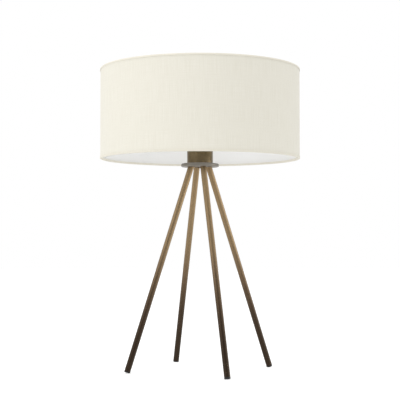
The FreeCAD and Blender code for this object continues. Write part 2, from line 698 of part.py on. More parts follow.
def rolled_corners(radius, upwards):
    """Corners of a rolled thread's wavy side, from its lower or its upper end, the last one left out."""
    bend = "((dims.bulb_thread_pitch / 4)^2 + (dims.bulb_thread_depth / 2)^2) / dims.bulb_thread_depth"
    waves = range(2 * BULB_THREAD_TURNS)
    corners = []
    for wave in waves if upwards else reversed(waves):
        rise = wave if upwards else wave + 1
        outwards = ANTICLOCKWISE if upwards else CLOCKWISE
        turn = outwards if wave % 2 == 0 else -outwards
        height = f"{BULB_THREAD_START} + {rise} * dims.bulb_thread_pitch / 2"
        corners.append((radius, height, bend, turn))
    return corners


def make_thread_shell():
    """The thin metal shell that the bulb screws into."""
    outside = f"({SHELL_RADIUS} + dims.shell_thickness)"
    outline = [(outside, BLOCK_TOP)]
    outline += rolled_corners(outside, upwards=True)
    outline += [(outside, BULB_THREAD_END), (outside, SHELL_TOP), (SHELL_RADIUS, SHELL_TOP)]
    outline += rolled_corners(SHELL_RADIUS, upwards=False)
    outline += [(SHELL_RADIUS, BULB_THREAD_START), (SHELL_RADIUS, BLOCK_TOP)]
    return turned("thread_shell", outline)


def make_bulb():
    """Globe, housing, two boards, screw cap, insulator and end contact."""
    contact = "dims.bulb_contact_diameter / 2"
    dome = f"(({contact})^2 + dims.bulb_contact_height^2) / (2 * dims.bulb_contact_height)"
    contact_outline = (("0", BULB_TIP, dome, ANTICLOCKWISE), (contact, BULB_CONTACT_TOP), ("0", BULB_CONTACT_TOP))
    insulator_outline = (
        ("0", BULB_CONTACT_TOP),
        (contact, BULB_CONTACT_TOP),
        (BULB_CAP_BORE, BULB_CAP_BOTTOM),
        ("0", BULB_CAP_BOTTOM),
    )
    cap_outline = [(BULB_CAP_BORE, BULB_CAP_BOTTOM), (BULB_THREAD_MIDDLE, BULB_CAP_BOTTOM)]
    cap_outline += rolled_corners(BULB_THREAD_MIDDLE, upwards=True)
    cap_outline.append((BULB_THREAD_MIDDLE, BULB_THREAD_END))
    cap_outline.append((BULB_THREAD_MIDDLE, BULB_CAP_TOP))
    cap_outline.append((BULB_CAP_BORE, BULB_CAP_TOP))

    plug = f"({BULB_CAP_BORE} - dims.push_clearance)"
    plug_bore = f"({plug} - dims.bulb_housing_wall)"
    plug_bottom = f"({BULB_CAP_TOP} - dims.bulb_plug_length)"
    board_seat = f"({BULB_RIM} - dims.light_board_thickness)"
    board_recess = f"({BULB_RIM_RADIUS} - dims.bulb_housing_wall)"
    cavity = f"({board_recess} - dims.bulb_housing_wall)"
    housing_outline = (
        (plug_bore, plug_bottom),
        (plug, plug_bottom),
        (plug, BULB_CAP_TOP),
        (BULB_THREAD_MIDDLE, BULB_CAP_TOP, "dims.bulb_neck_bend", CLOCKWISE),
        (BULB_RIM_RADIUS, BULB_RIM),
        (board_recess, BULB_RIM),
        (board_recess, board_seat),
        (cavity, board_seat, "dims.bulb_neck_bend", ANTICLOCKWISE),
        (plug_bore, BULB_CAP_TOP),
    )
    inner_radius = f"({BULB_RADIUS} - dims.bulb_wall)"
    inner_rim = f"sqrt({inner_radius}^2 - dims.bulb_rim_drop^2)"
    globe_outline = (
        (inner_rim, BULB_RIM),
        (BULB_RIM_RADIUS, BULB_RIM, BULB_RADIUS, ANTICLOCKWISE),
        ("0", BULB_TOP),
        ("0", f"{BULB_TOP} - dims.bulb_wall", inner_radius, CLOCKWISE),
    )
    board_radius = f"{board_recess} - dims.push_clearance"
    driver_half = f"({plug_bore} - dims.hole_clearance)"
    driver_depth = "dims.driver_board_thickness / 2"
    driver_low = (f"-{driver_half}", f"-{driver_depth}", f"({plug_bottom} + dims.driver_board_inset)")
    driver_high = (driver_half, driver_depth, f"({board_seat} - dims.driver_board_inset)")
    return [
        turned("bulb_globe", globe_outline),
        turned("bulb_housing", housing_outline),
        cylinder("bulb_light_board", board_radius, board_seat, BULB_RIM),
        box("bulb_driver_board", driver_low, driver_high),
        turned("bulb_cap", cap_outline),
        turned("bulb_insulator", insulator_outline),
        turned("bulb_contact", contact_outline),
    ]


def make_hem(name, edge, inwards):
    """Tape folded over a rim wire and the shade's edge; inwards is the sign away from the edge."""
    fold = HEM_FOLD_RADIUS
    fold_inside = f"({fold} - dims.hem_thickness)"
    outside = SHADE_RADIUS
    outside_fold = f"({outside} - dims.hem_thickness)"
    web = f"{edge} {inwards} dims.hem_thickness"
    outer_end = f"{edge} {inwards} dims.hem_outer_width"
    inner_end = f"{edge} {inwards} dims.hem_inner_width"
    outline = (
        (fold_inside, edge),
        (outside, edge),
        (outside, outer_end),
        (outside_fold, outer_end),
        (outside_fold, web),
        (fold, web),
        (fold, inner_end),
        (fold_inside, inner_end),
    )
    return turned(name, outline)


def make_rim_wire(name, height):
    ring = doc.addObject("Part::Torus", name)
    ring.setExpression("Radius1", RIM_RADIUS)
    ring.setExpression("Radius2", WIRE_RADIUS)
    ring.setExpression("Placement.Base.z", height)
    return ring


def make_seam():
    """A narrow overlap strip on the cloth at the back, from hem to hem."""
    low = f"{SHADE_BOTTOM} + dims.hem_outer_width + dims.push_clearance"
    high = f"{SHADE_TOP} - dims.hem_outer_width - dims.push_clearance"
    inside = f"({SEAM_RADIUS} - dims.seam_thickness)"
    angle = f"dims.seam_width / {SEAM_RADIUS} * 180 / pi"
    seam = turned("shade_seam", tube_section(inside, SEAM_RADIUS, low, high), angle)
    place_round(seam, SEAM_AZIMUTH, "0", "0")
    return seam


def make_spider_arm(side, azimuth):
    """A wire up from the bottom rim beside the lining, bent inwards to under the fitter plate."""
    body = new_body(f"spider_arm_{side}")
    path = new_sketch(body, "XZ_Plane", f"arm_path_{side}")
    rise = f"({ARM_LEVEL} - {ARM_FOOT})"
    bend = "dims.spider_bend_radius"
    corners = (
        ("0", "0"),
        ("0", f"{rise} - {bend}", bend, ANTICLOCKWISE),
        (f"-{bend}", rise),
        (f"{ARM_END_RADIUS} - {RIM_RADIUS}", rise),
    )
    draw(path, corners, closed=False)
    section = new_sketch(body, "XY_Plane", f"arm_section_{side}")
    section.addGeometry(Part.Circle(FreeCAD.Vector(), FreeCAD.Vector(0, 0, 1), number(WIRE_RADIUS)))
    section.addConstraint(Sketcher.Constraint("Coincident", -1, 1, 0, 3))
    drive(section, Sketcher.Constraint("Radius", 0, number(WIRE_RADIUS)), "wire", WIRE_RADIUS)
    pipe = body.newObject("PartDesign::AdditivePipe", f"arm_wire_{side}")
    pipe.Profile = section
    pipe.Spine = path
    place_round(body, azimuth, RIM_RADIUS, ARM_FOOT)
    return body


def make_shade():
    """Cloth on a stiff lining, a wire in each rim under a folded hem, and the spider."""
    low = f"({SHADE_BOTTOM} + {COVER_INSET})"
    high = f"({SHADE_TOP} - {COVER_INSET})"
    fitter_section = tube_section("dims.fitter_hole / 2", "dims.fitter_diameter / 2", FITTER_BOTTOM, FITTER_TOP)
    pieces = [
        turned("shade_cloth", tube_section(COVER_BORE, COVER_RADIUS, low, high)),
        turned("shade_lining", tube_section(LINING_BORE, LINING_RADIUS, low, high)),
        make_seam(),
        make_hem("shade_bottom_hem", SHADE_BOTTOM, "+"),
        make_hem("shade_top_hem", SHADE_TOP, "-"),
        make_rim_wire("shade_bottom_wire", f"{SHADE_BOTTOM} + {RIM_INSET}"),
        make_rim_wire("shade_top_wire", f"{SHADE_TOP} - {RIM_INSET}"),
        turned("spider_fitter", fitter_section),
    ]
    return pieces + [make_spider_arm(side, azimuth) for side, azimuth in ARM_AZIMUTHS.items()]


def make_base():
    """Legs with their caps and fasteners, the plate, the cup and the nipple."""
    ground_side = "(dims.foot_circle_radius + dims.leg_diameter)"
    ground_low = (f"-{ground_side}", f"-{ground_side}", "-dims.leg_diameter")
    ground = box("ground", ground_low, (ground_side, ground_side, "0"))
    places = list(enumerate(LEG_SIDES))
    pieces = [make_leg(index, side) for index, side in places]
    pieces += [make_foot_cap(index, side, ground) for index, side in places]
    pieces.append(group("leg_inserts", [make_leg_insert(index, side) for index, side in places]))
    pieces.append(group("leg_washers", [make_leg_washer(index, side) for index, side in places]))
    pieces.append(group("leg_screws", [make_leg_screw(index, side) for index, side in places]))
    return pieces + [make_top_plate(), make_cup()] + make_nipple_set()


def make_lampholder():
    return [
        make_holder_cap(),
        make_contact_block(),
        make_terminal_screws(),
        make_centre_contact(),
        make_side_contact(),
        make_thread_shell(),
        make_skirt(),
    ]


def check(pieces):
    """Stop before anything is written if an object failed or a piece has no sound shape."""
    for thing in doc.Objects:
        if "Invalid" in thing.State or "Error" in thing.State:
            raise ValueError(f"{thing.Label} failed: {thing.State}")
    for piece in pieces:
        if piece.Shape.isNull() or not piece.Shape.isValid() or not piece.Shape.Solids:
            raise ValueError(f"{piece.Label} has no sound shape")


def write(pieces):
    os.makedirs("parts", exist_ok=True)
    for piece in pieces:
        piece.Shape.exportStep(f"parts/{piece.Label}.step")
        size = piece.Shape.BoundBox
        print(f"{piece.Label:24s} {len(piece.Shape.Solids)} solids, {piece.Shape.Volume:10.1f} mm3,", size)


nodes = make_base() + make_lampholder() + [make_shade_ring()] + make_shade() + make_bulb()
doc.recompute()
check(nodes)
write(nodes)
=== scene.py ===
"""The looks of a four-legged table lamp with a drum shade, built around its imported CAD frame."""

import json
import math

import bpy
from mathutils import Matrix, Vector


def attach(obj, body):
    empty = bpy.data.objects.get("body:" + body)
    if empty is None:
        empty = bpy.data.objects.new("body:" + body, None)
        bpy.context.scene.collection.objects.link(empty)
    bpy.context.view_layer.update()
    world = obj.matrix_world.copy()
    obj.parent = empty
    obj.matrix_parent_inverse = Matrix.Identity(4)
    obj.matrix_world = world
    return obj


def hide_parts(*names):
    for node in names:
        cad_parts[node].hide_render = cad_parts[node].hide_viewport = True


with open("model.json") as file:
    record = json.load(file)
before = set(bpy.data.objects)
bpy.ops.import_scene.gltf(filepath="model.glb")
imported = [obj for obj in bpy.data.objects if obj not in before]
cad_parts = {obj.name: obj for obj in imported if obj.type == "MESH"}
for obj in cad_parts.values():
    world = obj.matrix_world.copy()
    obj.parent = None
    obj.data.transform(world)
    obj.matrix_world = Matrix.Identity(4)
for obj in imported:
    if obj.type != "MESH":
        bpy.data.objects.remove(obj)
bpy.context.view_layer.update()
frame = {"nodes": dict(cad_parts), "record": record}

# ---- sizes, in metres -------------------------------------------------------------------

MM = 0.001

# The shade's outside, over its folded hems, and the side on which its cloth is joined.
SHADE_RADIUS = 200.0 * MM
SHADE_LOW = 420.0 * MM
SHADE_HIGH = 600.0 * MM
SHADE_COLUMNS = 360
SEAM_AZIMUTH = math.radians(90)

# A hem is a tape folded over the rim wire, and reaches inwards by its depth.
HEM_THICKNESS = 0.4 * MM
HEM_HEIGHT = 4.0 * MM
HEM_DEPTH = 5.75 * MM
HEM_INNER = SHADE_RADIUS - HEM_DEPTH
HEM_ROUNDING = 1.6 * MM
ROUNDING_STEPS = 5

# The cover lies inside the hems, and its ends reach nearly to their folds.
COVER_OUTER = SHADE_RADIUS - 0.8 * MM
COVER_INNER = COVER_OUTER - 0.58 * MM
COVER_END_INSET = 0.45 * MM
COVER_LOW = SHADE_LOW + COVER_END_INSET
COVER_HIGH = SHADE_HIGH - COVER_END_INSET
COVER_ROWS = 18

# The seam is the cover's lapped edge, where it shows between the hems.
SEAM_WIDTH = 12.0 * MM
SEAM_INNER = COVER_OUTER + 0.04 * MM
SEAM_OUTER = SEAM_INNER + 0.3 * MM
SEAM_END_GAP = 0.1 * MM
SEAM_LOW = SHADE_LOW + HEM_HEIGHT + SEAM_END_GAP
SEAM_HIGH = SHADE_HIGH - HEM_HEIGHT - SEAM_END_GAP
SEAM_COLUMNS = 12

SHARP_ANGLE = math.radians(50)

# The cloth's threads, and the slubs, which are the thick places along them.
THREAD_PITCH = 0.62 * MM
HEM_THREAD_PITCH = 0.8 * THREAD_PITCH
CLOTH_RELIEF = 0.12 * MM
SLUB_LENGTH = 45.0 * MM
SLUB_WIDTH = 1.1 * MM

DRAWN_LINE_DEPTH = 0.006 * MM

FLOOR_SIZE = 14.0
FLOOR_GLOW = 0.36

DARK_CARD_WIDTH = 2.4
DARK_CARD_HEIGHT = 3.0
DARK_CARD_Y = -3.0

# The world's strength where it lights matt surfaces, and where it is seen or mirrored.
WORLD_LIGHT = 0.88
WORLD_SEEN = 1.0

# The lens and sensor are in millimetres, and a tilt of 90 degrees is level.
CAMERA_PLACE = (0.0, -2.1, 0.259)
CAMERA_TILT = math.radians(92.17)
CAMERA_LENS = 94.46
CAMERA_SENSOR = 36.0
CAMERA_NEAR = 0.05
CAMERA_FAR = 60

# ---- colours of the materials (sRGB, 0 to 255) ------------------------------------------

# The legs' colours by height above the floor. They darken towards the feet as painted shade near
# the floor, over the bronze's own colour.
LEG_COLOURS_WITH_PAINTED_SHADE = (
    (0.000, (54, 42, 32)),
    (0.060, (57, 45, 34)),
    (0.110, (70, 56, 43)),
    (0.155, (92, 75, 57)),
    (0.200, (120, 100, 77)),
    (0.250, (140, 119, 90)),
    (0.400, (160, 137, 104)),
)
LEG_COLOUR_TOP = 0.42
LEG_COLOUR_WANDER = 26 * MM

# ---- shader helpers ---------------------------------------------------------------------

# Noise whose places are multiplied by these is drawn out into lines or rings.
LINES_ALONG_X = (0.05, 1, 1)
LINES_ALONG_Z = (1, 1, 0.05)
LINES_ALONG_LEG = (1, 1, 0.03)
RINGS_ROUND_CUP = (0.03, 0.03, 1)

NODE_SPACING = 190
NODES_IN_A_ROW = 9

# The Mix node's colour sockets, which share their names with those of its other data types.
MIX_FIRST, MIX_SECOND, MIX_RESULT = 6, 7, 2


def linear(colour):
    """An sRGB colour of 0 to 255 as the linear RGBA that Blender's sockets take."""
    parts = []
    for value in colour:
        share = value / 255
        if share <= 0.04045:
            parts.append(share / 12.92)
        else:
            parts.append(((share + 0.055) / 1.055) ** 2.4)
    return (*parts, 1.0)


class Shader:
    """One node material with a Principled BSDF, and short ways to add and join its nodes."""

    def __init__(self, name, **sockets):
        self.material = bpy.data.materials.new(name)
        self.material.use_nodes = True
        self.tree = self.material.node_tree
        self.surface = self.tree.nodes["Principled BSDF"]
        self.added = 0
        for socket, value in sockets.items():
            self.surface.inputs[socket.replace("_", " ")].default_value = value

    def add(self, kind, *feeds, **settings):
        """Adds a node, sets its properties, and feeds its first inputs with sockets or values."""
        node = self.tree.nodes.new(kind)
        row, column = divmod(self.added, NODES_IN_A_ROW)
        self.added += 1
        node.location = (-NODE_SPACING * (column + 2), NODE_SPACING * (2 - row))
        for name, value in settings.items():
            setattr(node, name, value)
        for index, feed in enumerate(feeds):
            self.feed(node.inputs[index], feed)
        return node

    def feed(self, socket, source):
        """Joins a source socket to an input socket, or writes a plain value into it."""
        if isinstance(source, bpy.types.NodeSocket):
            self.tree.links.new(source, socket)
        elif source is not None:
            socket.default_value = source

    def math(self, operation, first, second=None, third=None):
        """One Math node's result."""
        return self.add("ShaderNodeMath", first, second, third, operation=operation).outputs[0]

    def stretched(self, place, stretch):
        """Places multiplied along each axis."""
        return self.add("ShaderNodeVectorMath", place, stretch, operation="MULTIPLY").outputs[0]

    def object_place(self, stretch=(1, 1, 1)):
        """Places in metres that stay with the piece as its body turns."""
        return self.stretched(self.add("ShaderNodeTexCoord").outputs["Object"], stretch)

    def noise(self, place, scale, detail=3):
        """A noise texture's value at those places, from 0 to 1 and mostly near the middle."""
        node = self.add("ShaderNodeTexNoise")
        self.feed(node.inputs["Vector"], place)
        node.inputs["Scale"].default_value = scale
        node.inputs["Detail"].default_value = detail
        return node.outputs[0]

    def spread(self, value, low, high, start=0.3, end=0.7):
        """A value from start to end as one from low to high."""
        return self.add("ShaderNodeMapRange", value, start, end, low, high).outputs[0]

    def ramp(self, value, stops):
        """A colour ramp through stops of (position, sRGB colour)."""
        node = self.add("ShaderNodeValToRGB", value)
        elements = node.color_ramp.elements
        while len(elements) < len(stops):
            elements.new(0.5)
        for element, (position, colour) in zip(elements, stops):
            element.position = position
            element.color = linear(colour)
        return node.outputs[0]

    def blend(self, share, first, second):
        """Two linear colours or colour sockets mixed by share."""
        node = self.add("ShaderNodeMix", data_type="RGBA")
        self.feed(node.inputs["Factor"], share)
        self.feed(node.inputs[MIX_FIRST], first)
        self.feed(node.inputs[MIX_SECOND], second)
        return node.outputs[MIX_RESULT]

    def clouds(self, noise, first, second):
        """Two sRGB colours in soft clouds, as a noise goes from low to high."""
        return self.blend(self.spread(noise, 0, 1), linear(first), linear(second))

    def colour(self, source):
        """Gives the surface its colour."""
        self.feed(self.surface.inputs["Base Color"], source)

    def roughness(self, noise, smoothest, roughest):
        """Lets the surface's roughness follow a noise."""
        self.feed(self.surface.inputs["Roughness"], self.spread(noise, smoothest, roughest))

    def bump(self, height, depth, strength, under=None):
        """Lifts the surface by height times depth, in metres, and returns its normal.

        A bump that lies on top of another one takes that one's normal as under.
        """
        node = self.add("ShaderNodeBump")
        node.inputs["Strength"].default_value = strength
        node.inputs["Distance"].default_value = depth
        self.feed(node.inputs["Height"], height)
        self.feed(node.inputs["Normal"], under)
        self.feed(self.surface.inputs["Normal"], node.outputs[0])
        return node.outputs[0]


# ---- materials --------------------------------------------------------------------------


def leg_patina():
    """Burnished bronze, with painted shade that darkens it towards the feet and fine drawn lines
    along the tube.
    """
    shader = Shader("leg_patina", Metallic=0.85, Specular_IOR_Level=0.5)
    place = shader.object_place()
    height = shader.add("ShaderNodeSeparateXYZ", place).outputs["Z"]
    cloudy = shader.noise(place, 26, detail=4)
    wander = shader.math("MULTIPLY_ADD", cloudy, LEG_COLOUR_WANDER, -LEG_COLOUR_WANDER / 2)
    wandered = shader.math("ADD", height, wander)
    stops = [(level / LEG_COLOUR_TOP, colour) for level, colour in LEG_COLOURS_WITH_PAINTED_SHADE]
    # The height ramp darkens the legs towards the feet: painted shade.
    patina_with_painted_shade = shader.ramp(shader.math("DIVIDE", wandered, LEG_COLOUR_TOP), stops)
    lines = shader.noise(shader.object_place(LINES_ALONG_LEG), 1500, detail=2)
    lined = shader.blend(shader.spread(lines, 0, 0.16), patina_with_painted_shade, linear((58, 48, 36)))
    specks = shader.noise(place, 420, detail=2)
    worn = shader.spread(specks, 0, 0.5, start=0.68, end=0.80)
    shader.colour(shader.blend(worn, lined, linear((178, 160, 122))))
    shader.roughness(cloudy, 0.44, 0.56)
    normal = shader.bump(lines, 0.012 * MM, strength=0.5)
    shader.bump(cloudy, 0.2 * MM, strength=0.2, under=normal)
    return shader.material


def plate_patina():
    """Grey-brown painted metal with a fine sandy grain and rubbed spots."""
    shader = Shader("plate_patina", Metallic=0.6)
    place = shader.object_place()
    cloudy = shader.noise(place, 60, detail=4)
    base = shader.clouds(cloudy, (106, 101, 94), (128, 123, 114))
    grain = shader.noise(place, 1900)
    rubbed = shader.spread(grain, 0, 0.4, start=0.55, end=0.8)
    shader.colour(shader.blend(rubbed, base, linear((88, 80, 70))))
    shader.roughness(cloudy, 0.34, 0.48)
    shader.bump(grain, 0.015 * MM, strength=0.6)
    return shader.material


def cup_patina():
    """Olive-brown metal, spun on a lathe: fine rings round the cup and a cloudy tint."""
    shader = Shader("cup_patina", Metallic=0.9)
    place = shader.object_place()
    cloudy = shader.noise(place, 45, detail=4)
    base = shader.clouds(cloudy, (106, 92, 67), (124, 109, 83))
    rings = shader.noise(shader.object_place(RINGS_ROUND_CUP), 1800, detail=2)
    shader.colour(shader.blend(shader.spread(rings, 0, 0.4), base, linear((76, 61, 39))))
    shader.roughness(cloudy, 0.17, 0.28)
    shader.bump(rings, DRAWN_LINE_DEPTH, strength=0.5)
    return shader.material


def speckled(name, first, second, cloud, grain, rough, depth):
    """A material of two close colours in soft clouds, with a fine grain in height and gloss."""
    shader = Shader(name)
    place = shader.object_place()
    shader.colour(shader.clouds(shader.noise(place, cloud, detail=4), first, second))
    fine = shader.noise(place, grain)
    shader.roughness(fine, *rough)
    shader.bump(fine, depth, strength=0.6)
    return shader.material


def drawn_metal(name, first, second, rough, stretch):
    """Plated or bare metal with fine lines along one direction."""
    shader = Shader(name, Metallic=1.0)
    cloudy = shader.noise(shader.object_place(), 140, detail=4)
    lines = shader.noise(shader.object_place(stretch), 2200, detail=2)
    shader.colour(shader.clouds(cloudy, first, second))
    shader.roughness(lines, *rough)
    shader.bump(lines, DRAWN_LINE_DEPTH, strength=0.5)
    return shader.material


def woven(name, light, dark, pitch, slubs):
    """A plain weave on UVs in metres: threads over and under with painted shade where they dip,
    slubs along them, a soft fuzz.
    """
    shader = Shader(name, Roughness=0.86, Sheen_Weight=0.12, Sheen_Roughness=0.5)
    uv = shader.add("ShaderNodeTexCoord").outputs["UV"]
    drift = shader.noise(uv, 260, detail=2)
    drift = shader.math("MULTIPLY_ADD", drift, pitch * 0.7, -pitch * 0.35)
    split = shader.add("ShaderNodeSeparateXYZ", uv)
    across = shader.math("ADD", split.outputs["X"], drift)
    along = shader.math("ADD", split.outputs["Y"], drift)
    warp = shader.math("SINE", shader.math("MULTIPLY", across, math.pi / pitch))
    weft = shader.math("SINE", shader.math("MULTIPLY", along, math.pi / pitch))
    warp_side = shader.math("MULTIPLY", shader.math("SIGN", warp), weft)
    weft_side = shader.math("MULTIPLY", shader.math("SIGN", weft), warp)
    warp_lift = shader.math("MULTIPLY_ADD", warp_side, 0.5, 0.5)
    weft_lift = shader.math("MULTIPLY_ADD", weft_side, -0.5, 0.5)
    warp_height = shader.math("MULTIPLY", shader.math("ABSOLUTE", warp), warp_lift)
    weft_height = shader.math("MULTIPLY", shader.math("ABSOLUTE", weft), weft_lift)
    height = shader.math("MAXIMUM", warp_height, weft_height)
    upright = (1 / SLUB_WIDTH, 1 / SLUB_LENGTH, 1)
    lying = (1 / SLUB_LENGTH, 1 / SLUB_WIDTH, 1)
    slub_up = shader.noise(shader.stretched(uv, upright), 1, detail=2)
    slub_flat = shader.noise(shader.stretched(uv, lying), 1, detail=2)
    streak = shader.spread(slub_up, 0, slubs, start=0.35, end=0.75)
    cross = shader.spread(slub_flat, 0, slubs * 0.5, start=0.4, end=0.75)
    # Painted shade: the colour goes darker where the threads dip under one another.
    painted_shade_in_weave = shader.spread(height, 0.55, 0, start=0, end=0.7)
    base = shader.blend(painted_shade_in_weave, linear(light), linear(dark))
    streaked = shader.blend(streak, base, linear(dark))
    shader.colour(shader.blend(cross, streaked, linear(dark)))
    normal = shader.bump(height, CLOTH_RELIEF, strength=0.5)
    thick = shader.math("ADD", slub_up, shader.math("MULTIPLY", slub_flat, 0.6))
    shader.bump(thick, CLOTH_RELIEF, strength=0.35, under=normal)
    return shader.material


def lining_sheet():
    """The smooth white sheet inside the shade, very slightly uneven where it is glued."""
    shader = Shader("shade_lining")
    place = shader.object_place()
    uneven = shader.noise(place, 14)
    shader.colour(shader.clouds(uneven, (248, 248, 247), (251, 251, 250)))
    fine = shader.noise(place, 900, detail=2)
    shader.roughness(fine, 0.5, 0.64)
    normal = shader.bump(uneven, 1.2 * MM, strength=0.15)
    shader.bump(fine, 0.03 * MM, strength=0.4, under=normal)
    return shader.material


def opal_bulb():
    """Opal plastic of a lamp bulb, milky and softly glossy."""
    shader = Shader("bulb_opal", Subsurface_Weight=0.25, Coat_Weight=0.15)
    shader.surface.inputs["Subsurface Radius"].default_value = (12 * MM, 11 * MM, 10 * MM)
    place = shader.object_place()
    shader.colour(shader.clouds(shader.noise(place, 30), (238, 237, 232), (244, 243, 239)))
    fine = shader.noise(place, 1400, detail=2)
    shader.roughness(fine, 0.28, 0.38)
    shader.bump(fine, 0.02 * MM, strength=0.3)
    return shader.material


def circuit_board():
    """Green board with faint darker tracks, sunk under its lacquer."""
    shader = Shader("bulb_board_green")
    place = shader.object_place()
    tracks = shader.add("ShaderNodeTexBrick", place)
    tracks.inputs["Scale"].default_value = 420
    tracks.inputs["Mortar Size"].default_value = 0.03
    colours = {"Color1": (28, 92, 58), "Color2": (34, 104, 64), "Mortar": (20, 66, 44)}
    for socket, colour in colours.items():
        tracks.inputs[socket].default_value = linear(colour)
    shader.colour(tracks.outputs["Color"])
    shader.roughness(shader.noise(place, 1600, detail=2), 0.3, 0.45)
    shader.bump(tracks.outputs["Fac"], -0.04 * MM, strength=0.5)
    return shader.material


# By slot: two colours, the scales of the clouds and the grain, the roughness, the grain's depth.
SPECKLED = {
    "foot_cap": ((15, 14, 13), (23, 22, 21), 90, 1500, (0.55, 0.75), 0.08 * MM),
    "black_plastic": ((27, 27, 28), (35, 35, 36), 70, 1700, (0.36, 0.52), 0.05 * MM),
    "porcelain": ((236, 234, 227), (243, 241, 235), 55, 700, (0.10, 0.20), 0.04 * MM),
    "white_wire": ((232, 232, 229), (241, 241, 238), 80, 950, (0.32, 0.48), 0.09 * MM),
    "bulb_white": ((236, 236, 233), (243, 243, 241), 60, 1300, (0.32, 0.46), 0.04 * MM),
    "black_glass": ((16, 16, 18), (25, 25, 27), 120, 600, (0.06, 0.14), 0.03 * MM),
}

# By slot: two colours, the roughness and how the noise is stretched into lines.
DRAWN_METALS = {
    "plated_steel": ((196, 197, 196), (178, 179, 178), (0.22, 0.38), LINES_ALONG_Z),
    "contact_brass": ((206, 170, 98), (182, 146, 78), (0.2, 0.36), LINES_ALONG_Z),
    "bulb_board_metal": ((206, 207, 208), (190, 191, 193), (0.28, 0.42), LINES_ALONG_X),
    "bulb_nickel": ((203, 200, 190), (184, 181, 172), (0.16, 0.3), LINES_ALONG_Z),
}

# The frame holds plain materials of the same names, so these are kept by slot and not by name.
MATERIALS = {
    "leg_patina": leg_patina(),
    "plate_patina": plate_patina(),
    "cup_patina": cup_patina(),
    "shade_lining": lining_sheet(),
    "bulb_opal": opal_bulb(),
    "bulb_board_green": circuit_board(),
}
MATERIALS |= {slot: speckled(slot, *look) for slot, look in SPECKLED.items()}
MATERIALS |= {slot: drawn_metal(slot, *look) for slot, look in DRAWN_METALS.items()}
COVER_CLOTH = woven("shade_cloth", (244, 241, 230), (220, 215, 197), THREAD_PITCH, slubs=0.3)
HEM_CLOTH = woven("hem_tape", (243, 239, 226), (219, 213, 194), HEM_THREAD_PITCH, slubs=0.25)


# ---- mesh helpers -----------------------------------------------------------------------


def mesh_piece(name, points, faces, corners, material):
    """A smooth piece of points and faces, with UVs in metres for each face's corners."""
    mesh = bpy.data.meshes.new(name)
    mesh.from_pydata(points, [], faces)
    layer = mesh.uv_layers.new(name="flat")
    places = [place for face in corners for place in face]
    for loop, place in zip(layer.data, places):
        loop.uv = place
    mesh.polygons.foreach_set("use_smooth", [True] * len(mesh.polygons))
    mesh.set_sharp_from_angle(angle=SHARP_ANGLE)
    mesh.materials.append(material)
    mesh.update()
    piece = bpy.data.objects.new(name, mesh)
    bpy.context.scene.collection.objects.link(piece)
    return piece


def swept_strip(name, outline, start, sweep, columns, material):
    """A closed outline of (radius, z) turned about the lamp's axis, capped if it stops short."""
    closed = math.isclose(sweep, math.tau)
    around = columns if closed else columns + 1
    size = len(outline)
    points = []
    for column in range(around):
        angle = start + sweep * column / columns
        for radius, level in outline:
            points.append((radius * math.cos(angle), radius * math.sin(angle), level))
    lengths = [0.0]
    for index in range(size):
        first, second = outline[index], outline[(index + 1) % size]
        lengths.append(lengths[-1] + math.dist(first, second))
    mean = sum(radius for radius, level in outline) / size
    faces, corners = [], []
    for column in range(columns):
        this, following = column % around * size, (column + 1) % around * size
        near, far = mean * sweep * column / columns, mean * sweep * (column + 1) / columns
        for index in range(size):
            after = (index + 1) % size
            faces.append((this + index, following + index, following + after, this + after))
            low, high = lengths[index], lengths[index + 1]
            corners.append(((near, low), (far, low), (far, high), (near, high)))
    if not closed:
        order = list(range(size))
        for first, cap in ((0, order), ((around - 1) * size, order[::-1])):
            faces.append(tuple(first + index for index in cap))
            corners.append([outline[index] for index in cap])
    return mesh_piece(name, points, faces, corners, material)


def rounded(points, radius):
    """An open line of points with each inner corner turned on an arc of about that radius."""
    line = [Vector(points[0])]
    for before, corner, after in zip(points, points[1:], points[2:]):
        corner = Vector(corner)
        back = (Vector(before) - corner).normalized() * radius
        ahead = (Vector(after) - corner).normalized() * radius
        for step in range(ROUNDING_STEPS + 1):
            share = step / ROUNDING_STEPS
            first = corner + back * (1 - share)
            second = corner + ahead * share
            line.append(first.lerp(second, share))
    line.append(Vector(points[-1]))
    return [tuple(point) for point in line]


def thickened(line, thickness):
    """A closed outline around an open line, that far off on its left-hand side."""
    offset = []
    for index, point in enumerate(line):
        before = Vector(line[max(index - 1, 0)])
        after = Vector(line[min(index + 1, len(line) - 1)])
        along = (after - before).normalized()
        normal = Vector((-along.y, along.x))
        offset.append(tuple(Vector(point) + normal * thickness))
    return list(line) + offset[::-1]


# ---- the shade's soft pieces ------------------------------------------------------------


def make_cover():
    """The woven cover: one cylinder of cloth, on its lining."""
    rise = COVER_HIGH - COVER_LOW
    levels = [COVER_LOW + rise * row / COVER_ROWS for row in range(COVER_ROWS + 1)]
    outline = [(COVER_OUTER, level) for level in levels]
    outline += [(COVER_INNER, level) for level in reversed(levels)]
    cover = swept_strip(
        "drum_cover", outline, SEAM_AZIMUTH, math.tau, SHADE_COLUMNS, COVER_CLOTH
    )
    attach(cover, "shade")
    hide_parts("shade_cloth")
    return cover


def make_seam():
    """The lapped edge of the cover, as a flat strip down the back."""
    sweep = SEAM_WIDTH / SEAM_OUTER
    start = SEAM_AZIMUTH - sweep / 2
    outline = [
        (SEAM_INNER, SEAM_LOW),
        (SEAM_OUTER, SEAM_LOW),
        (SEAM_OUTER, SEAM_HIGH),
        (SEAM_INNER, SEAM_HIGH),
    ]
    seam = swept_strip(
        "back_seam", outline, start, sweep, SEAM_COLUMNS, COVER_CLOTH
    )
    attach(seam, "shade")
    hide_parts("shade_seam")


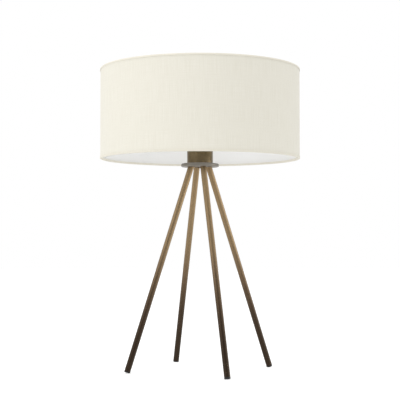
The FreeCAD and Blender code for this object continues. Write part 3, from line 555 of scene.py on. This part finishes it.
def make_hem(name, node, edge, inward):
    """A hem folded over the rim wire at the shade's edge, where inward is 1 up or -1 down."""
    outer = SHADE_RADIUS - HEM_THICKNESS
    inner = HEM_INNER + HEM_THICKNESS
    line = [
        (outer, edge + inward * HEM_HEIGHT),
        (outer, edge + inward * HEM_THICKNESS),
        (inner, edge + inward * HEM_THICKNESS),
        (inner, edge + inward * HEM_HEIGHT),
    ]
    outline = thickened(rounded(line, HEM_ROUNDING), inward * HEM_THICKNESS)
    if inward < 0:
        outline = outline[::-1]
    hem = swept_strip(
        name, outline, SEAM_AZIMUTH, math.tau, SHADE_COLUMNS, HEM_CLOTH
    )
    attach(hem, "shade")
    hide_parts(node)


# ---- the CAD nodes' finish --------------------------------------------------------------


def finish_cad_nodes():
    """Gives each CAD node the material of its slot, if it has one here."""
    slots = {entry["node"]: entry["material_slot"] for entry in frame["record"]["subparts"]}
    for name, node in frame["nodes"].items():
        if slots[name] in MATERIALS:
            node.data.materials.clear()
            node.data.materials.append(MATERIALS[slots[name]])


# ---- stage, lamps and camera ------------------------------------------------------------


def make_card(name, corners, material):
    """A flat four-cornered card of the studio."""
    mesh = bpy.data.meshes.new(name)
    mesh.from_pydata(corners, [], [(0, 1, 2, 3)])
    mesh.materials.append(material)
    card = bpy.data.objects.new(name, mesh)
    bpy.context.scene.collection.objects.link(card)
    return card


def make_floor():
    """A pale floor that looks white to the camera and keeps the lamp's soft shadow."""
    shader = Shader("floor_white", Roughness=0.9, Specular_IOR_Level=0.1)
    grain = shader.noise(shader.object_place(), 300)
    shader.colour(shader.clouds(grain, (240, 240, 239), (243, 243, 242)))
    path = shader.add("ShaderNodeLightPath")
    seen = shader.math("MAXIMUM", path.outputs["Is Camera Ray"], path.outputs["Is Glossy Ray"])
    glow = shader.math("MULTIPLY", seen, FLOOR_GLOW)
    shader.surface.inputs["Emission Color"].default_value = (1, 1, 1, 1)
    shader.feed(shader.surface.inputs["Emission Strength"], glow)
    half = FLOOR_SIZE / 2
    corners = [(-half, -half, 0), (half, -half, 0), (half, half, 0), (-half, half, 0)]
    make_card("floor", corners, shader.material)


def make_dark_card():
    """The studio's dark side behind the camera, which shows only in the metal's reflections."""
    shader = Shader("dark_card", Roughness=1.0, Specular_IOR_Level=0.0)
    cloudy = shader.noise(shader.object_place(), 2)
    shader.colour(shader.blend(cloudy, linear((70, 70, 70)), linear((84, 84, 84))))
    half = DARK_CARD_WIDTH / 2
    corners = [
        (-half, DARK_CARD_Y, 0),
        (half, DARK_CARD_Y, 0),
        (half, DARK_CARD_Y, DARK_CARD_HEIGHT),
        (-half, DARK_CARD_Y, DARK_CARD_HEIGHT),
    ]
    card = make_card("dark_card", corners, shader.material)
    card.visible_camera = False
    card.visible_diffuse = False


def make_world():
    """An even studio light that shows white behind the object and in its metal and glass."""
    world = bpy.data.worlds.new("studio")
    bpy.context.scene.world = world
    world.use_nodes = True
    tree = world.node_tree
    path = tree.nodes.new("ShaderNodeLightPath")
    seen = path.outputs["Is Camera Ray"]
    for ray in ("Is Glossy Ray", "Is Transmission Ray"):
        either = tree.nodes.new("ShaderNodeMath")
        either.operation = "MAXIMUM"
        tree.links.new(seen, either.inputs[0])
        tree.links.new(path.outputs[ray], either.inputs[1])
        seen = either.outputs[0]
    level = tree.nodes.new("ShaderNodeMapRange")
    level.inputs["To Min"].default_value = WORLD_LIGHT
    level.inputs["To Max"].default_value = WORLD_SEEN
    tree.links.new(seen, level.inputs["Value"])
    background = tree.nodes["Background"]
    background.inputs["Color"].default_value = (1, 1, 1, 1)
    tree.links.new(level.outputs[0], background.inputs["Strength"])


def make_lamp(name, place, target, width, power, glint_only=False):
    """A square soft box that shines from a place towards a target, or only adds a glint."""
    light = bpy.data.lights.new(name, "AREA")
    light.size = width
    light.energy = power
    lamp = bpy.data.objects.new(name, light)
    lamp.location = place
    lamp.rotation_euler = (Vector(target) - Vector(place)).to_track_quat("-Z", "Y").to_euler()
    lamp.visible_camera = False
    lamp.visible_diffuse = not glint_only
    bpy.context.scene.collection.objects.link(lamp)


def make_camera():
    """The camera, in front of the lamp at about half its height and pitched slightly up."""
    data = bpy.data.cameras.new("camera")
    data.sensor_width = CAMERA_SENSOR
    data.lens = CAMERA_LENS
    data.clip_start = CAMERA_NEAR
    data.clip_end = CAMERA_FAR
    camera = bpy.data.objects.new("camera", data)
    camera.location = CAMERA_PLACE
    camera.rotation_euler = (CAMERA_TILT, 0, 0)
    bpy.context.scene.collection.objects.link(camera)
    bpy.context.scene.camera = camera


# ---- the scene --------------------------------------------------------------------------

finish_cad_nodes()
drum_cover = make_cover()
make_seam()
make_hem("bottom_hem", "shade_bottom_hem", SHADE_LOW, 1)
make_hem("top_hem", "shade_top_hem", SHADE_HIGH, -1)

make_floor()
make_world()
make_dark_card()
make_lamp("key", place=(-2.4, -1.4, 1.5), target=(0, 0, 0.45), width=1.8, power=14)
make_lamp("overhead", place=(0, 0, 2.2), target=(0, 0, 0.5), width=1.2, power=8)
make_lamp("rim", place=(2.2, 0.1, 0.4), target=(0, 0, 0.3), width=0.9, power=16, glint_only=True)
make_camera()
bpy.context.scene.view_settings.view_transform = "Standard"
